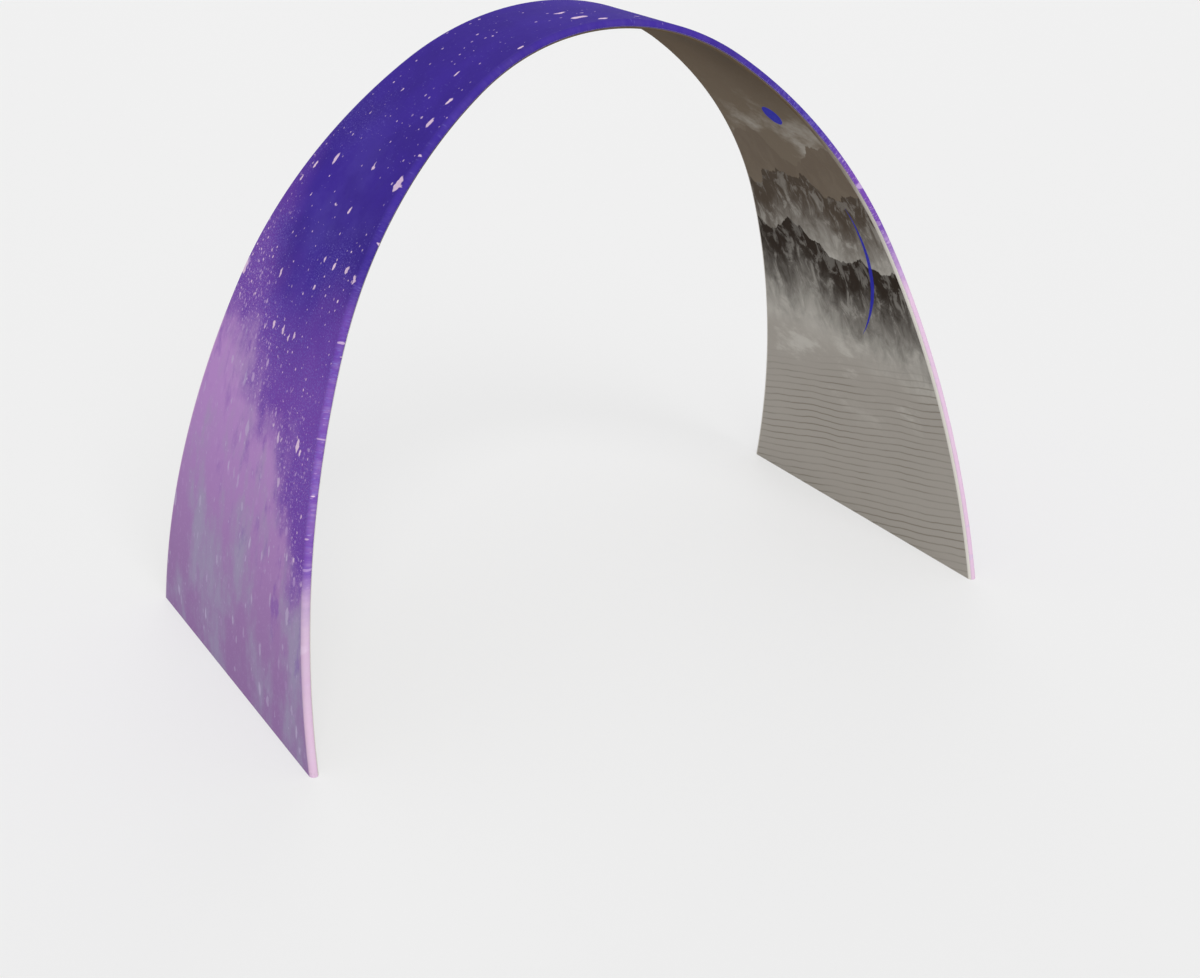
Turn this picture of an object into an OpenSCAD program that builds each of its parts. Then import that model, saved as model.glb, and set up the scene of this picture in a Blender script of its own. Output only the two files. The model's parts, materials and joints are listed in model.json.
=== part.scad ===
// Fabric display arch: two tube hoops lean towards each other and stretch a printed cover.
// Millimetres. Origin on the floor, in the middle of the walkway. X runs across, Y through, Z up.
// Each corner is modelled once, at the front right, and mirrored to its place.

/* [Hoop shape] */
// Bend radius of the lower tubes, on the tube's centreline
lower_r = 4160; // [4000:10:4300]
// Bend radius of the shoulder tubes
shoulder_r = 1890; // [1800:10:1980]
// Bend radius of the crown tube
crown_r = 964; // [920:1:1000]
// Inward lean of a leg where it meets the floor, in degrees
foot_lean = 1.75; // [1:0.05:3]
// Arc of a lower tube, in degrees
lower_sweep = 21.25; // [20:0.25:22.5]
// Arc of a shoulder tube, in degrees
shoulder_sweep = 31.9; // [30:0.1:34]
// Lean of each hoop towards the other one, in degrees
hoop_lean = 12.76; // [11:0.01:14]
// Distance between the two hoops on the floor, centre to centre
hoop_spacing = 1579; // [1520:1:1660]

/* [Tubes] */
// Outside diameter of the hoop tubes
tube_d = 32; // [31:0.5:34]
// Wall of the hoop tubes
tube_wall = 1.5; // [1.2:0.1:1.8]
// Outside diameter of the cross bars
bar_d = 25; // [24:0.5:27]
// Wall of the cross bars
bar_wall = 1.5; // [1.2:0.1:1.8]
// Length of a neck inside the next tube, or of a stub inside its bar
neck_len = 80; // [70:1:100]
// Wall of a neck or a stub
neck_wall = 1.5; // [1.2:0.1:1.8]
// Clearance around a neck or a stub
neck_gap = 0.2; // [0.15:0.05:0.3]
// Gap between the ends of two tubes that meet
butt_gap = 0.3; // [0.2:0.1:0.5]
// Gap between a cross bar's end and the hoop tube's wall
bar_end_gap = 5; // [4:0.5:8]
// Distance from a spreader bar's axis up to the joint above it
spreader_drop = 60; // [50:1:80]
// Height of the base bars' axis above the floor
base_bar_z = 34; // [32:0.5:40]

/* [Snap buttons] */
// Diameter of a button in a hoop joint
button_d = 6.6; // [6:0.1:7]
// Diameter of a button in a cross bar
bar_button_d = 6; // [5.4:0.1:6.2]
// Height of a button above the tube that it locks
button_proud = 1; // [0.5:0.1:1.5]
// Clearance around a button in its hole
button_gap = 0.3; // [0.2:0.05:0.4]
// Thickness of the leaf spring behind a button
leaf_t = 0.8; // [0.6:0.1:1]

/* [Cover] */
// Thickness of the cover's fabric
fabric_t = 1.2; // [0.8:0.1:1.6]
// Gap between the fabric and the tubes under it
fabric_gap = 0.4; // [0.3:0.05:0.5]
// Gap between two fabric edges that are sewn together
seam_gap = 0.3; // [0.2:0.05:0.4]
// Part of the rim's half turn that the printed band covers, in degrees
band_turn = 130; // [115:1:150]

/* [Feet] */
// Height at which the hoop tubes end above the floor
tube_foot_z = 8; // [7:0.5:10]
// Length of a foot plug inside its tube
plug_len = 25; // [20:1:40]

/* [Zip] */
// Height of the zip's middle above the floor
zip_z = 8; // [7.5:0.1:9]
// Width of the closed teeth
teeth_w = 4.8; // [4:0.1:5.4]
// Height of the closed teeth
teeth_h = 2.2; // [1.8:0.1:2.4]
// Thickness of the zip's tapes
tape_t = 1; // [0.8:0.1:1.2]
// Distance from a hoop's axis on the floor to the end of the zip
zip_inset = 55; // [50:1:80]
// Length of a slider
slider_len = 13; // [12:0.5:15]
// Thickness of a slider's plates
slider_plate = 1.2; // [1:0.1:1.4]
// Length of a pull tab
pull_len = 26; // [22:1:28]

/* [Hidden] */
$fn = 48;
SIDES = ["left", "right"];
FACES = ["front", "back"];

tube_r = tube_d / 2;
bore_r = tube_r - tube_wall;
neck_r = bore_r - neck_gap;
neck_bore_r = neck_r - neck_wall;
bar_r = bar_d / 2;
bar_bore_r = bar_r - bar_wall;
stub_r = bar_bore_r - neck_gap;
stub_bore_r = stub_r - neck_wall;
// Wall that stays solid where a tube steps down to its neck, and behind a stub's bore
step_len = 3;
stub_floor = 2;
skin_in = tube_r + fabric_gap;
skin_out = skin_in + fabric_t;
// Reach of a cut past the face that it opens
cut = 5;
// Overlap that joins two lengths of one piece
lap = 1;
// How much thinner, on each side, a length of rim is where it laps into its neighbours
rim_inset = 0.05;
// Facets to a full turn of a long bend, fine enough for the smoothest look
bend_fn = 720;

// A point on a hoop is named by the angle of its outward direction in the hoop's own plane:
// foot_lean at the floor, 90 at the crown.
knee_a = foot_lean + lower_sweep;
neck_a = knee_a + shoulder_sweep;
lower_step = lower_r - shoulder_r;
shoulder_step = shoulder_r - crown_r;
foot_x = lower_r * cos(foot_lean) - lower_step * cos(knee_a) - shoulder_step * cos(neck_a);
lower_c = [foot_x - lower_r * cos(foot_lean), -lower_r * sin(foot_lean)];
shoulder_c = lower_c + lower_step * [cos(knee_a), sin(knee_a)];
crown_c = shoulder_c + shoulder_step * [cos(neck_a), sin(neck_a)];
crown_v = crown_c.y + crown_r;

function bend_c(a) = a <= knee_a ? lower_c : a <= neck_a ? shoulder_c : crown_c;
function bend_r(a) = a <= knee_a ? lower_r : a <= neck_a ? shoulder_r : crown_r;
function hoop_at(a) = bend_c(a) + bend_r(a) * [cos(a), sin(a)];
function turn(len, r) = len / r * 180 / PI;
// Angle of the hoop's point at a height above the floor, on a lower tube
function angle_at(z) = asin(sin(foot_lean) + z / cos(hoop_lean) / lower_r);
// Half the distance between the two hoops at an angle
function half_gap(a) = hoop_spacing / 2 - hoop_at(a).y * sin(hoop_lean);

base_bar_a = angle_at(base_bar_z);
tube_foot_a = angle_at(tube_foot_z);
below_floor = 60;
below_a = angle_at(-below_floor);
low_spreader_a = knee_a - turn(spreader_drop, lower_r);
high_spreader_a = neck_a - turn(spreader_drop, shoulder_r);
lower_button_a = knee_a + turn(neck_len / 2, shoulder_r);
upper_button_a = neck_a + turn(neck_len / 2, crown_r);

// Seen from the front, the skins follow the hoop's outline at a distance from it
function side_at(a) = [hoop_at(a).x, hoop_at(a).y * cos(hoop_lean)];
function side_normal(a) = let (n = [cos(a) * cos(hoop_lean), sin(a)]) n / norm(n);
function side_angle(a) = atan2(side_normal(a).y, side_normal(a).x);
lower_facets = 32;
shoulder_facets = 24;
crown_facets = 20;
skin_angles = concat(
    [for (i = [0 : lower_facets - 1]) below_a + (knee_a - below_a) * i / lower_facets],
    [for (i = [0 : shoulder_facets - 1]) knee_a + shoulder_sweep * i / shoulder_facets],
    [for (i = [0 : crown_facets]) neck_a + (90 - neck_a) * i / crown_facets]
);
function half_outline(off) = [for (a = skin_angles) side_at(a) + off * side_normal(a)];
function reversed(p) = [for (i = [len(p) - 1 : -1 : 0]) p[i]];
function outline(off) = let (half = half_outline(off), last = len(half) - 1)
    concat(half, [for (i = [last - 1 : -1 : 0]) [-half[i].x, half[i].y]]);

// Places what is modelled at the front right
module corner(face, side) {
    mirror([side == "left" ? 1 : 0, 0, 0])
        mirror([0, face == "back" ? 1 : 0, 0])
            children();
}

// The front hoop's own plane, which stands on the floor and leans back: X across, Z up the plane
module hoop() {
    translate([0, -hoop_spacing / 2, 0])
        rotate([-hoop_lean, 0, 0])
            children();
}

// Sweeps a section along one bend. Its X points away from the arch, its Y away from the other hoop.
module bend(from_a, to_a, c, r) {
    translate([c.x, 0, c.y])
        rotate([90, 0, 0])
            rotate([0, 0, from_a])
                rotate_extrude(angle = to_a - from_a, $fn = bend_fn)
                    translate([r, 0])
                        children();
}

// A place on the front hoop: X away from the arch, Y towards the other hoop, Z along the tube
module on_hoop(a) {
    hoop()
        translate([hoop_at(a).x, 0, hoop_at(a).y])
            rotate([0, -a, 0])
                children();
}

// A place on a cross bar, measured from the front hoop's axis: Y along the bar, Z up along the skin
module on_bar(a, along) {
    translate([side_at(a).x, along - half_gap(a), side_at(a).y])
        rotate([0, -side_angle(a), 0])
            children();
}

module along_bar() {
    rotate([-90, 0, 0]) children();
}

// Cross bars
bar_start = tube_r + bar_end_gap;
stub_len = bar_start + neck_len;
bar_button_at = bar_start + neck_len / 2;

module stub(a) {
    on_bar(a, 0) along_bar() cylinder(h = stub_len, r = stub_r);
}

module stub_bore(a) {
    on_bar(a, tube_r + stub_floor) along_bar() cylinder(h = stub_len, r = stub_bore_r);
}

module bar_button_hole(a) {
    on_bar(a, bar_button_at) cylinder(h = bar_r + cut, d = bar_button_d + 2 * button_gap);
}

module cross_bar(a) {
    length = 2 * (half_gap(a) - bar_start);
    color("silver") difference() {
        on_bar(a, bar_start) along_bar() cylinder(h = length, r = bar_r);
        on_bar(a, bar_start - cut) along_bar() cylinder(h = length + 2 * cut, r = bar_bore_r);
        corner("front", "right") bar_button_hole(a);
        corner("back", "right") bar_button_hole(a);
    }
}

// Hoop tubes. Each lower and shoulder tube steps down to a neck that enters the tube above.
module hoop_button_hole(a) {
    on_hoop(a) along_bar() cylinder(h = tube_r + cut, d = button_d + 2 * button_gap);
}

module neck(a, c, r) {
    hoop() bend(a - turn(lap, r), a + turn(neck_len, r), c, r) circle(neck_r);
}

module neck_bore(a, c, r) {
    hoop() bend(a, a + turn(neck_len + cut, r), c, r) circle(neck_bore_r);
}

module lower_tube() {
    step_a = knee_a - turn(step_len, lower_r);
    color("silver") difference() {
        union() {
            hoop() bend(tube_foot_a, knee_a, lower_c, lower_r) circle(tube_r);
            neck(knee_a, shoulder_c, shoulder_r);
            stub(base_bar_a);
            stub(low_spreader_a);
        }
        hoop() bend(below_a, step_a, lower_c, lower_r) circle(bore_r);
        hoop() bend(step_a - turn(cut, lower_r), knee_a, lower_c, lower_r) circle(neck_bore_r);
        neck_bore(knee_a, shoulder_c, shoulder_r);
        stub_bore(base_bar_a);
        stub_bore(low_spreader_a);
        bar_button_hole(base_bar_a);
        bar_button_hole(low_spreader_a);
        hoop_button_hole(lower_button_a);
    }
}

module shoulder_tube() {
    start_a = knee_a + turn(butt_gap, shoulder_r);
    step_a = neck_a - turn(step_len, shoulder_r);
    color("silver") difference() {
        union() {
            hoop() bend(start_a, neck_a, shoulder_c, shoulder_r) circle(tube_r);
            neck(neck_a, crown_c, crown_r);
            stub(high_spreader_a);
        }
        hoop() bend(start_a - turn(cut, shoulder_r), step_a, shoulder_c, shoulder_r) circle(bore_r);
        hoop() bend(step_a - turn(cut, shoulder_r), neck_a, shoulder_c, shoulder_r) circle(neck_bore_r);
        neck_bore(neck_a, crown_c, crown_r);
        stub_bore(high_spreader_a);
        bar_button_hole(high_spreader_a);
        hoop_button_hole(lower_button_a);
        hoop_button_hole(upper_button_a);
    }
}

module crown_tube() {
    start_a = neck_a + turn(butt_gap, crown_r);
    open_a = start_a - turn(cut, crown_r);
    color("silver") difference() {
        hoop() bend(start_a, 180 - start_a, crown_c, crown_r) circle(tube_r);
        hoop() bend(open_a, 180 - open_a, crown_c, crown_r) circle(bore_r);
        corner("front", "left") hoop_button_hole(upper_button_a);
        corner("front", "right") hoop_button_hole(upper_button_a);
    }
}

// Snap buttons: a stem with a dome, and a flange that keeps it behind the neck's wall.
// Each is drawn along Z from its tube's axis.
flange_h = 1.5;
flange_rim = 1.2;
dome_h = 0.6;

module button(stem_r, top, flange_top) {
    color("gainsboro") {
        translate([0, 0, flange_top - flange_h]) cylinder(h = flange_h, r = stem_r + flange_rim);
        translate([0, 0, flange_top - flange_h]) cylinder(h = top - dome_h - flange_top + flange_h, r = stem_r);
        translate([0, 0, top - dome_h]) cylinder(h = dome_h, r1 = stem_r, r2 = stem_r - dome_h);
    }
}

// Height of a flange's top under the round wall of a neck, clear of it by a named gap
flange_clear = 0.4;
function flange_top(wall_r, stem_r) = sqrt(pow(wall_r, 2) - pow(stem_r + flange_rim, 2)) - flange_clear;
hoop_flange_top = flange_top(neck_bore_r, button_d / 2);
bar_flange_top = flange_top(stub_bore_r, bar_button_d / 2);

module hoop_button(a) {
    on_hoop(a) along_bar() button(button_d / 2, tube_r + button_proud, hoop_flange_top);
}

module bar_button(a) {
    on_bar(a, bar_button_at) button(bar_button_d / 2, bar_r + button_proud, bar_flange_top);
}

// A leaf spring bent into a V: one leg lies under the button, the other on the far wall.
// Drawn in X along the tube and Y towards the button, and as wide as leaf_w.
leaf_w = 5;
leaf_gap = 0.3;

module leaf(top, wall_r) {
    floor_y = -sqrt(pow(wall_r, 2) - pow(leaf_w / 2, 2)) + 2 * flange_clear;
    tip = button_d / 2 + flange_rim;
    half_slope = atan2(top - floor_y, leaf_reach - tip) / 2;
    color("lightsteelblue") linear_extrude(height = leaf_w, center = true) polygon([
        [tip, top],
        [-tip, top],
        [-leaf_reach, floor_y],
        [tip, floor_y],
        [tip, floor_y + leaf_t],
        [-leaf_reach + leaf_t / tan(half_slope), floor_y + leaf_t],
        [-tip + leaf_t * tan(half_slope), top - leaf_t],
        [tip, top - leaf_t]
    ]);
}

leaf_reach = neck_len / 2 - step_len;

module hoop_leaf(a) {
    on_hoop(a) rotate([0, -90, 0])
        leaf(hoop_flange_top - flange_h - leaf_gap, neck_bore_r);
}

module bar_leaf(a) {
    on_bar(a, bar_button_at) rotate([90, 0, 90])
        leaf(bar_flange_top - flange_h - leaf_gap, stub_bore_r);
}

// Feet
module foot_plug() {
    flange_a = tube_foot_a - turn(butt_gap, lower_r);
    plug_a = tube_foot_a + turn(plug_len, lower_r);
    color("dimgray") difference() {
        hoop() {
            bend(below_a, flange_a, lower_c, lower_r) circle(tube_r);
            bend(flange_a - turn(lap, lower_r), plug_a, lower_c, lower_r) circle(neck_r);
        }
        under_floor();
    }
}

module under_floor() {
    side = 2 * (foot_x + hoop_spacing);
    translate([-side / 2, -side / 2, -side]) cube(side);
}

// Cover: two skins between the hoops' planes, and rims that turn around the hoop tubes
module between_hoops() {
    top_z = crown_v * cos(hoop_lean) + 2 * skin_out;
    gap = seam_gap / cos(hoop_lean);
    low_y = hoop_spacing / 2 - gap;
    top_y = low_y - top_z * tan(hoop_lean);
    rotate([90, 0, 90])
        linear_extrude(height = 2 * (foot_x + below_floor), center = true)
            polygon([[-low_y, 0], [low_y, 0], [top_y, top_z], [-top_y, top_z]]);
}

module skin(inside, outside) {
    intersection() {
        rotate([90, 0, 0])
            linear_extrude(height = hoop_spacing, center = true)
                polygon(concat(outline(outside), reversed(outline(inside))));
        between_hoops();
    }
}

module outer_skin() {
    color([0.29, 0.20, 0.60]) skin(skin_in, skin_out);
}

module inner_skin() {
    color([0.50, 0.47, 0.43]) skin(-skin_out, -skin_in);
}

// Part of a fabric ring around a tube, between two angles of no more than half a turn.
// An inset length is thinner by that much all round.
module rim_section(from_t, to_t, inset = 0) {
    first = from_t + turn(inset, skin_in);
    last = to_t - turn(inset, skin_in);
    middle = (first + last) / 2;
    far = 2 * skin_out;
    intersection() {
        difference() {
            circle(skin_out - inset);
            circle(skin_in + inset);
        }
        polygon([
            [0, 0],
            far * [cos(first), sin(first)],
            2 * far * [cos(middle), sin(middle)],
            far * [cos(last), sin(last)]
        ]);
    }
}

// A hoop's whole rim, foot to foot. The shoulder lengths lap into their neighbours.
module rim(from_t, to_t) {
    lap_a = knee_a - turn(lap, shoulder_r);
    lap_to_a = neck_a + turn(lap, shoulder_r);
    difference() {
        hoop() {
            for (side = SIDES) {
                corner("front", side) {
                    bend(below_a, knee_a, lower_c, lower_r) rim_section(from_t, to_t);
                    bend(lap_a, lap_to_a, shoulder_c, shoulder_r) rim_section(from_t, to_t, rim_inset);
                }
            }
            bend(neck_a, 180 - neck_a, crown_c, crown_r) rim_section(from_t, to_t);
        }
        under_floor();
    }
}

module rim_band() {
    color([0.80, 0.62, 0.82]) rim(0, band_turn);
}

module seam_tape() {
    color([0.92, 0.91, 0.88]) rim(band_turn + turn(seam_gap, skin_out), 180);
}

// Zip under each foot, at the right leg. Its slider parks at the back end.
zip_x = side_at(angle_at(zip_z)).x;
zip_end = hoop_spacing / 2 - zip_inset;
teeth_gap = 0.3;
// Gap between a tape's end and the foot plug
tape_edge = 6;
stop_len = 3;

module zip_block(x, y, z) {
    translate([zip_x + x[0], y[0], zip_z + z[0]])
        cube([x[1] - x[0], y[1] - y[0], z[1] - z[0]]);
}

module zip_tapes() {
    inner = teeth_w / 2 + teeth_gap;
    outer = skin_in - teeth_gap;
    reach = hoop_spacing / 2 - tube_r - tape_edge;
    color([0.12, 0.12, 0.13]) {
        zip_block([inner, outer], [-reach, reach], [-tape_t / 2, tape_t / 2]);
        zip_block([-outer, -inner], [-reach, reach], [-tape_t / 2, tape_t / 2]);
    }
}

module zip_teeth() {
    half_w = teeth_w / 2;
    half_h = teeth_h / 2;
    last = zip_end + slider_len / 2 - wedge_len - slider_gap;
    color([0.08, 0.08, 0.09]) {
        zip_block([-half_w, half_w], [-zip_end, last], [-half_h, half_h]);
        zip_block([-half_w, half_w], [-zip_end - stop_len, -zip_end], [-slider_hole, slider_hole]);
    }
}

// The slider's two plates hold the tapes' edges, with a wedge between them at its nose
slider_gap = 0.5;
slider_hole = teeth_h / 2 + slider_gap;
slider_top = slider_hole + slider_plate;
slider_half_w = teeth_w / 2 + slider_gap + slider_plate;
wedge_len = 3;
tape_slot = tape_t / 2 + slider_gap;
pin_r = 0.6;
pin_gap = 0.06;
pull_gap = 0.2;
pull_t = 2 * pin_r;
pin_z = -slider_top - pull_gap - pull_t / 2;
loop_w = 1.6;
loop_wall = 1.1;
loop_r = pin_r + pin_gap + loop_wall;

module zip_slider() {
    half_l = slider_len / 2;
    color("silver") difference() {
        union() {
            zip_block([-slider_half_w, slider_half_w], [zip_end - half_l, zip_end + half_l],
                [-slider_top, slider_top]);
            zip_block([-loop_w / 2, loop_w / 2], [zip_end - loop_r, zip_end + loop_r],
                [pin_z, -slider_top]);
            translate([zip_x - loop_w / 2, zip_end, zip_z + pin_z])
                rotate([0, 90, 0]) cylinder(h = loop_w, r = loop_r);
        }
        zip_block([slider_plate - slider_half_w, slider_half_w - slider_plate],
            [zip_end - half_l - cut, zip_end + half_l - wedge_len], [-slider_hole, slider_hole]);
        for (x = [[-slider_half_w - cut, -slider_gap], [slider_gap, slider_half_w + cut]])
            zip_block(x, [zip_end - half_l - cut, zip_end + half_l + cut], [-tape_slot, tape_slot]);
        translate([zip_x - slider_half_w, zip_end, zip_z + pin_z])
            rotate([0, 90, 0]) cylinder(h = 2 * slider_half_w, r = pin_r + pin_gap);
    }
}

// The pull is a flat tab with a window; the window's end bar is the pin that turns in the loop
pull_w = 8;
window_w = 4.4;
window_len = 5;

module zip_pull() {
    color("silver") {
        difference() {
            zip_block([-pull_w / 2, pull_w / 2], [zip_end - pull_len, zip_end],
                [pin_z - pull_t / 2, pin_z + pull_t / 2]);
            zip_block([-window_w / 2, window_w / 2], [zip_end - window_len, zip_end + cut],
                [pin_z - pull_t, pin_z + pull_t]);
        }
        translate([zip_x - pull_w / 2, zip_end, zip_z + pin_z])
            rotate([0, 90, 0]) cylinder(h = pull_w, r = pin_r);
    }
}

for (face = FACES) {
    for (side = SIDES) {
        place = str(face, "_", side, "_");
        corner(face, side) lower_tube();
        corner(face, side) shoulder_tube();
        corner(face, side) foot_plug();
        corner(face, side) hoop_button(lower_button_a);
        corner(face, side) hoop_button(upper_button_a);
        corner(face, side) bar_button(base_bar_a);
        corner(face, side) bar_button(low_spreader_a);
        corner(face, side) bar_button(high_spreader_a);
        corner(face, side) {  // hoop_leaf_springs
            hoop_leaf(lower_button_a);
            hoop_leaf(upper_button_a);
        }
        corner(face, side) {  // bar_leaf_springs
            bar_leaf(base_bar_a);
            bar_leaf(low_spreader_a);
            bar_leaf(high_spreader_a);
        }
    }
    corner(face, "right") crown_tube();
    corner(face, "right") rim_band();
    corner(face, "right") seam_tape();
}
for (side = SIDES) {
    corner("front", side) cross_bar(base_bar_a);
    corner("front", side) cross_bar(low_spreader_a);
    corner("front", side) cross_bar(high_spreader_a);
    corner("front", side) zip_tapes();
    corner("front", side) zip_teeth();
    corner("front", side) zip_slider();
    corner("front", side) zip_pull();
}
outer_skin();
inner_skin();
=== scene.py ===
"""Dressed model of a fabric display arch: printed cover, lining, seam strips, zips, springs and finishes."""
import json
from dataclasses import dataclass
from math import asin, atan, cos, pi, radians, sin, tan

import bmesh
import bpy
from mathutils import Matrix, Vector


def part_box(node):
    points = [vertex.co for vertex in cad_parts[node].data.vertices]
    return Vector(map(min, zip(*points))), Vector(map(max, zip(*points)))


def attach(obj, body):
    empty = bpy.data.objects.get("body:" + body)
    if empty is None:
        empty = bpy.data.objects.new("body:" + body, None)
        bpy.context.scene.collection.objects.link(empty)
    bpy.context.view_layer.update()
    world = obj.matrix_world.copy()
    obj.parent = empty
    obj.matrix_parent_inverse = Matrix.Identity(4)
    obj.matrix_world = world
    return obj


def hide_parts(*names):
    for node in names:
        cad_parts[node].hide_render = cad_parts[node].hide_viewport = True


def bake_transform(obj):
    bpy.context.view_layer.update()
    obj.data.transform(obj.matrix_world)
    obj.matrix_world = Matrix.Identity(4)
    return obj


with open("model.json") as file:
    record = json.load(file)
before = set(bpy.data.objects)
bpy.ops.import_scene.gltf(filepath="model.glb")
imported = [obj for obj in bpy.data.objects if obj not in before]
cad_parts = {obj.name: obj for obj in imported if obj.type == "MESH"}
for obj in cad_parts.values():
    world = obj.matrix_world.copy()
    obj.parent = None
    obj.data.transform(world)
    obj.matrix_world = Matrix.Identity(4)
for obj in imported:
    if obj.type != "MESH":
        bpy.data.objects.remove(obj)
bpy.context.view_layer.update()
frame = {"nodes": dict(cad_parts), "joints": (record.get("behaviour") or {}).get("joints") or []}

bl_info = {
    "name": "Fabric display arch",
    "version": (1, 0, 0),
    "blender": (4, 5, 0),
    "location": "View3D > Sidebar > Display Arch",
    "description": "Dresses the display arch with its cover, lining, seams, zips, springs and finishes",
    "category": "Add Mesh",
}

SIDES = ("left", "right")
FACES = {"front": -1, "back": 1}
MM = 0.001
TURN = 2 * pi


# Colours


def linear(colour):
    """A display colour with channels from 0 to 1, as the renderer's linear colour."""
    bent = [c / 12.92 if c <= 0.04045 else ((c + 0.055) / 1.055) ** 2.4 for c in colour]
    return (*bent, 1)


def toned(colour, level):
    """A darker or lighter tone of a display colour."""
    return [c * level for c in colour]


# Kinds of sizes and colours in the sidebar


def length(name, description, default):
    return bpy.props.FloatProperty(
        name=name, description=description, default=default, min=0, precision=5, unit="LENGTH"
    )


def angle(name, description, degrees):
    return bpy.props.FloatProperty(
        name=name, description=description, default=radians(degrees), subtype="ANGLE"
    )


def share(name, description, default, most=1):
    return bpy.props.FloatProperty(
        name=name, description=description, default=default, min=0, max=most, subtype="FACTOR"
    )


def colour(name, description, red, green, blue):
    """A colour as it shows on a screen, in steps of 1/255."""
    return bpy.props.FloatVectorProperty(
        name=name, description=description, default=(red / 255, green / 255, blue / 255),
        size=3, min=0, max=1, subtype="COLOR_GAMMA",
    )


# Sizes and colours that a user would change


class HoopShape(bpy.types.PropertyGroup):
    """The two bent hoops that the cover is stretched over"""

    lower_radius: length("Lower radius", "Bend radius of the lower tubes", 4.160)
    shoulder_radius: length("Shoulder radius", "Bend radius of the shoulder tubes", 1.890)
    crown_radius: length("Crown radius", "Bend radius of the crown tube", 0.964)
    foot_lean: angle("Foot lean", "Inward lean of a leg at the floor", 1.75)
    lower_sweep: angle("Lower sweep", "Arc of a lower tube", 21.25)
    shoulder_sweep: angle("Shoulder sweep", "Arc of a shoulder tube", 31.9)
    hoop_lean: angle("Hoop lean", "Lean of each hoop towards the other one", 12.76)
    spacing: length("Spacing", "Distance between the hoops on the floor", 1.579)
    tube_diameter: length("Tube diameter", "Outside diameter of the hoop tubes", 0.032)


class CoverCut(bpy.types.PropertyGroup):
    """How the cover is cut, sewn and stretched"""

    thickness: length("Thickness", "Thickness of the fabric", 0.0012)
    tube_gap: length("Gap over tube", "Gap between the fabric and a tube under it", 0.0004)
    seam_gap: length("Seam gap", "Gap between two edges that are sewn together", 0.0003)
    band_turn: angle("Band turn", "Part of the rim's half turn that the print covers", 130)
    stretch: bpy.props.FloatProperty(
        name="Stretch", description="Stretched size of the knit over its cut size", default=1.04, min=1
    )
    rows: bpy.props.IntProperty(name="Rows", description="Facets from foot to foot", default=340, min=40)
    skin_columns: bpy.props.IntProperty(name="Skin columns", description="Facets between rims", default=14)
    rim_columns: bpy.props.IntProperty(name="Rim columns", description="Facets round a rim", default=14)
    stitch_pitch: length("Stitch pitch", "Length of one stitch and its gap", 0.0032)
    stitch_inset: length("Stitch inset", "Distance from a seam to its row of stitches", 0.0022)
    hem_height: length("Hem height", "Height of the hem's stitches above the floor", 0.014)


class PrintColours(bpy.types.PropertyGroup):
    """The powder print on the outside of the cover"""

    indigo: colour("Indigo", "Ground of the print over the crown", 68, 46, 160)
    violet: colour("Violet", "Where the powder thins out", 130, 80, 182)
    powder: colour("Powder pink", "Ground of the print on the legs", 194, 148, 214)
    foot_powder: colour("Foot pink", "The pink where it deepens at the feet", 165, 128, 182)
    haze: colour("Haze", "Cool clouds in the pink", 172, 162, 194)
    # Rim pink also paints the rims paler in the pink, which is partly a painted sheen
    rim_powder: colour("Rim pink", "The pink where the print is stretched round a rim", 242, 211, 232)
    fleck: colour("Fleck", "Drops on the indigo", 246, 216, 240)
    mist: colour("Mist", "Fine mist on the indigo", 128, 118, 206)
    grain: colour("Grain", "Loose grains of powder", 214, 184, 230)
    pale_fleck: colour("Pale fleck", "Drops on the pink", 206, 192, 224)
    mist_cell: length("Mist cell", "Room that each fine speck of mist has", 0.0105)
    grain_cell: length("Grain cell", "Room that each fine grain has", 0.0075)
    crumb_cell: length("Crumb cell", "Room that each coarse grain has", 0.017)
    blob_cell: length("Blob cell", "Room that each lump of powder has", 0.042)
    speck_cell: length("Speck cell", "Room that each speck has", 0.034)
    drop_cell: length("Drop cell", "Room that each drop has", 0.095)
    splat_cell: length("Splat cell", "Room that each large splat has", 0.20)


class LiningColours(bpy.types.PropertyGroup):
    """The misty ridges on the lining"""

    umber: colour("Umber", "Sky under the crown", 106, 90, 72)
    dusk: colour("Dusk", "Sky behind the ridges", 134, 122, 107)
    stone: colour("Stone", "Ground on the legs", 186, 180, 172)
    mist: colour("Mist", "Mist between the ridges", 212, 208, 200)
    far_ridge: colour("Far ridge", "Ridges at the back", 122, 109, 95)
    near_ridge: colour("Near ridge", "Ridges at the front", 54, 45, 38)
    ripple: colour("Ripple", "Lines across the lower legs", 146, 139, 127)
    brush: colour("Brush blue", "Thin brush strokes", 52, 54, 190)
    strip: colour("Strip", "Strips beside the seams, on the legs", 234, 230, 222)
    thread: colour("Thread", "Thread of the seams", 226, 222, 216)
    ripple_pitch: length("Ripple pitch", "Distance between two ripple lines", 0.035)


class HardwareFinish(bpy.types.PropertyGroup):
    """Metal, rubber and zip parts inside the cover"""

    aluminium: colour("Aluminium", "Mill finish of tubes and bars", 205, 207, 210)
    steel: colour("Steel", "Plated buttons, springs and sliders", 190, 190, 188)
    rubber: colour("Rubber", "Foot plugs", 38, 38, 40)
    tape: colour("Zip tape", "Woven zip tapes", 30, 30, 33)
    teeth: colour("Zip teeth", "Moulded zip teeth", 20, 20, 22)
    teeth_pitch: length("Teeth pitch", "Distance between two teeth of one tape", 0.0028)


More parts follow.
